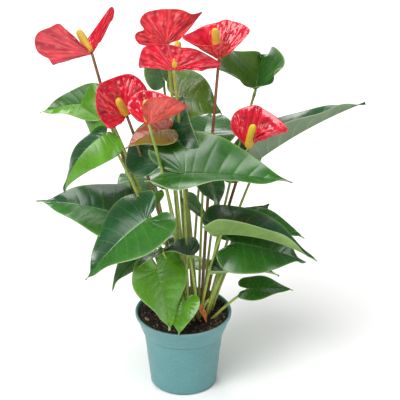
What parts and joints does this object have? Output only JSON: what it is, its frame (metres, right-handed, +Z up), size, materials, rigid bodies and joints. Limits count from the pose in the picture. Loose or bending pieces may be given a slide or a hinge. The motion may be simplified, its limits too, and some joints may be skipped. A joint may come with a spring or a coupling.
{
  "type": "potted anthurium",
  "caption": "Bushy flowering house plant with heart-shaped leaves and glossy red spathes, rooted in soil in a round tapered nursery pot.",
  "frame": {"origin": "centre of the pot's flat underside, on the surface that it stands on", "axes": "+Z up along the pot's axis; the flowers' showy side faces -Y; the longest leaf points along +X"},
  "size_m": [0.3993, 0.2565, 0.5011],
  "materials": {
    "pot": "satin moulded plastic, teal",
    "soil": "loose bark and peat, matt",
    "crown": "fibrous, matt",
    "leaf": "smooth waxy leaf with pale veins",
    "young_leaf": "glossy young leaf, bronze",
    "flower_stem": "smooth round stem",
    "spathe": "high gloss, with embossed veins",
    "spadix": "finely pebbled, matt",
    "dry_sheath": "dry and papery",
    "green_sheath": "fibrous, satin"
  },
  "bodies": {
    "root": {"pot": "pot", "soil": "soil", "crown": "crown", "leaf_left_top": "leaf", "leaf_left_hanging": "leaf", "leaf_left_arching": "leaf", "leaf_left_wide": "leaf", "leaf_front_large": "leaf", "leaf_front_grey": "leaf", "leaf_front_bright": "leaf", "leaf_front_small": "leaf", "leaf_front_cupped": "leaf", "leaf_centre_large": "leaf", "leaf_centre_dark": "leaf", "leaf_young_bronze": "young_leaf", "leaf_right_long": "leaf", "leaf_top_right": "leaf", "leaf_top_centre": "leaf", "leaf_top_left": "leaf", "leaf_right_upper": "leaf", "leaf_right_middle": "leaf", "leaf_right_pale": "leaf", "leaf_right_dark": "leaf", "leaf_right_gutter": "leaf", "leaf_right_low": "leaf", "leaf_inner_hanging": "leaf", "leaf_inner_grey": "leaf", "leaf_inner_pale": "leaf", "leaf_back_right": "leaf", "leaf_back_left": "leaf", "leaf_back_low_right": "leaf", "leaf_back_low_left": "leaf", "leaf_back_high": "leaf", "leaf_back_tip": "leaf", "flower_left_stem": "flower_stem", "flower_left_spadix": "spadix", "flower_left_spathe": "spathe", "flower_left_low_stem": "flower_stem", "flower_left_low_spadix": "spadix", "flower_left_low_spathe": "spathe", "flower_centre_stem": "flower_stem", "flower_centre_spadix": "spadix", "flower_centre_spathe": "spathe", "flower_top_back_stem": "flower_stem", "flower_top_back_spadix": "spadix", "flower_top_back_spathe": "spathe", "flower_top_front_stem": "flower_stem", "flower_top_front_spadix": "spadix", "flower_top_front_spathe": "spathe", "flower_top_right_stem": "flower_stem", "flower_top_right_spadix": "spadix", "flower_top_right_spathe": "spathe", "flower_right_stem": "flower_stem", "flower_right_spadix": "spadix", "flower_right_spathe": "spathe", "sheath_orange": "dry_sheath", "sheath_green": "green_sheath", "sheath_red": "spathe"}
  },
  "joints": []
}
